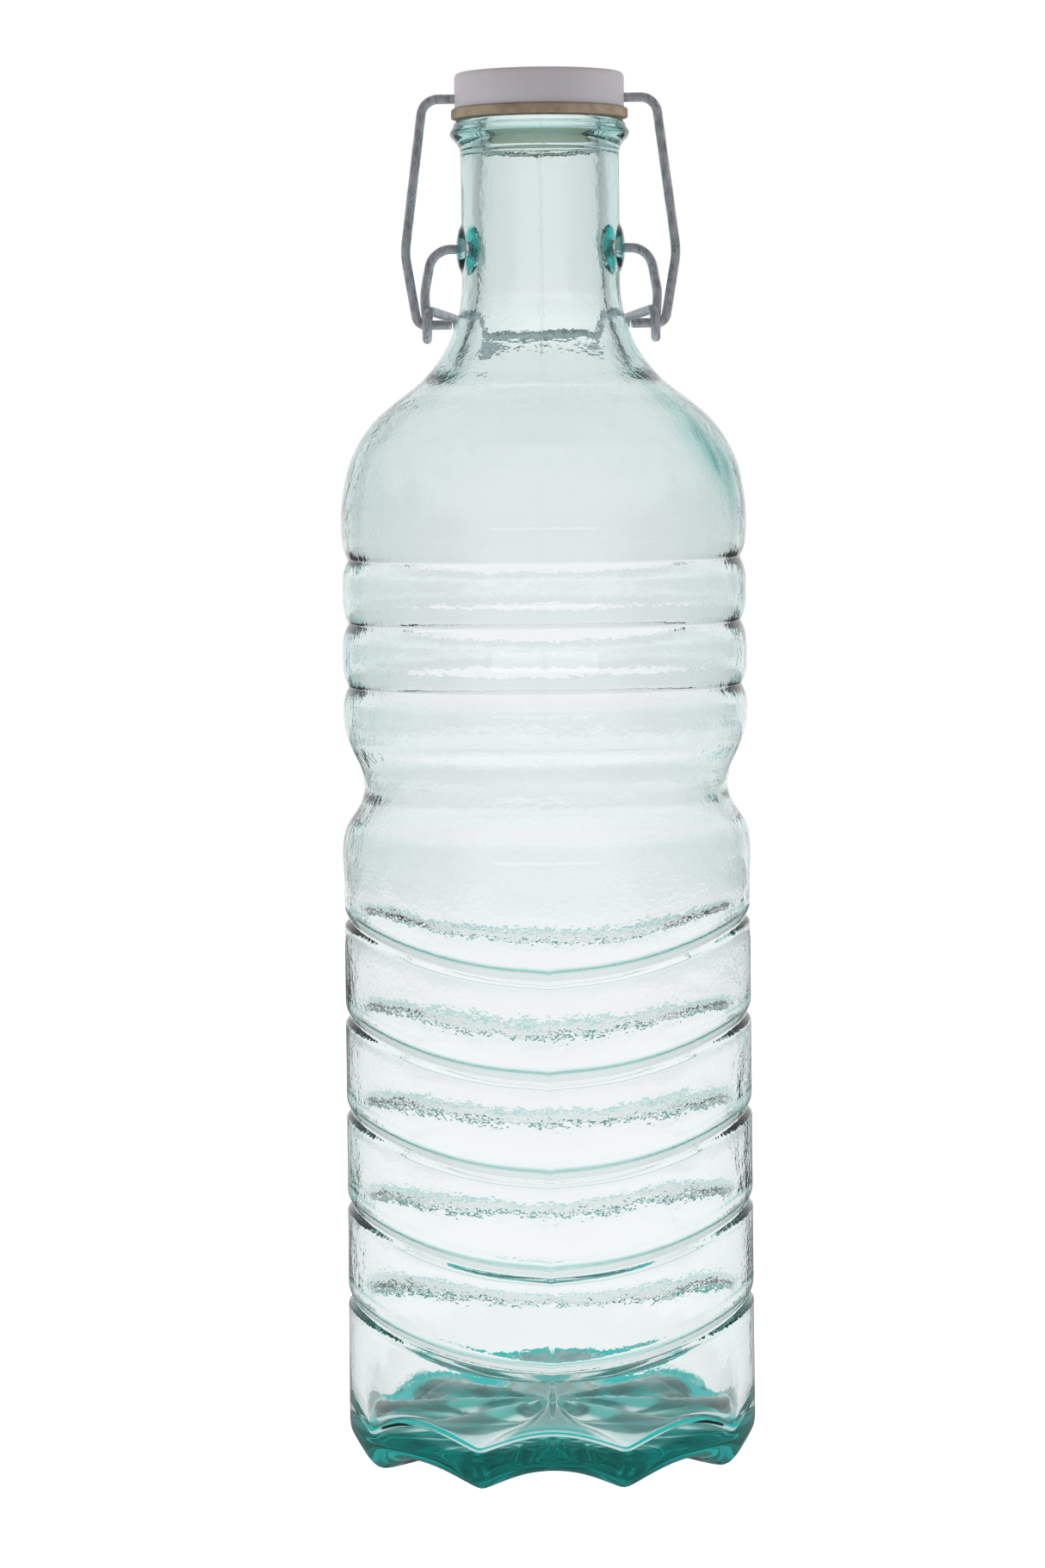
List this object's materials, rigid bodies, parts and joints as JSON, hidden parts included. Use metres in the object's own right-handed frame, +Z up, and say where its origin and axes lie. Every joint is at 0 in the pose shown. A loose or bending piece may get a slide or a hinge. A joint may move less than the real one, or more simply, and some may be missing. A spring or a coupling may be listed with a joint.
{
  "type": "swing top bottle",
  "caption": "Ribbed recycled-glass bottle with a waist, scalloped feet and a wired stopper that a lever clamps down on a rubber gasket.",
  "frame": {"origin": "on the bottle's axis, at the plane its feet stand on", "axes": "+Z up along the bottle's axis, -Y the front with a mould seam and the lever's eyes, +Y the back with the thumb bar, X through the wire bosses"},
  "size_m": [0.0968, 0.0968, 0.3285],
  "materials": {
    "glass": "glossy, pale aqua, slightly wavy inside",
    "white_plastic": "satin",
    "rubber": "matte",
    "galvanised_steel": "dull galvanised"
  },
  "bodies": {
    "bottle": {"glass_bottle": "glass"},
    "lever": {"lever_wire": "galvanised_steel"},
    "bail": {"bail_wire": "galvanised_steel"},
    "closure": {"stopper": "white_plastic", "gasket": "rubber"}
  },
  "joints": [
    {"name": "lever_pivot", "type": "hinge", "parent": "bottle", "child": "lever", "pos_m": [0, 0, 0.2874], "axis": [1, 0, 0], "range_deg": [0, 88]},
    {"name": "bail_pivot", "type": "hinge", "parent": "lever", "child": "bail", "pos_m": [0, -0.0025, 0.2696], "axis": [1, 0, 0], "range_deg": [-61, 0]},
    {"name": "stopper_pivot", "type": "hinge", "parent": "bail", "child": "closure", "pos_m": [0, 0, 0.3226], "axis": [1, 0, 0], "range_deg": [-28, 0]}
  ],
  "couplings": [
    {"joint": "bail_pivot", "follows": "lever_pivot", "ratio": -0.685},
    {"joint": "stopper_pivot", "follows": "lever_pivot", "ratio": -0.315}
  ]
}
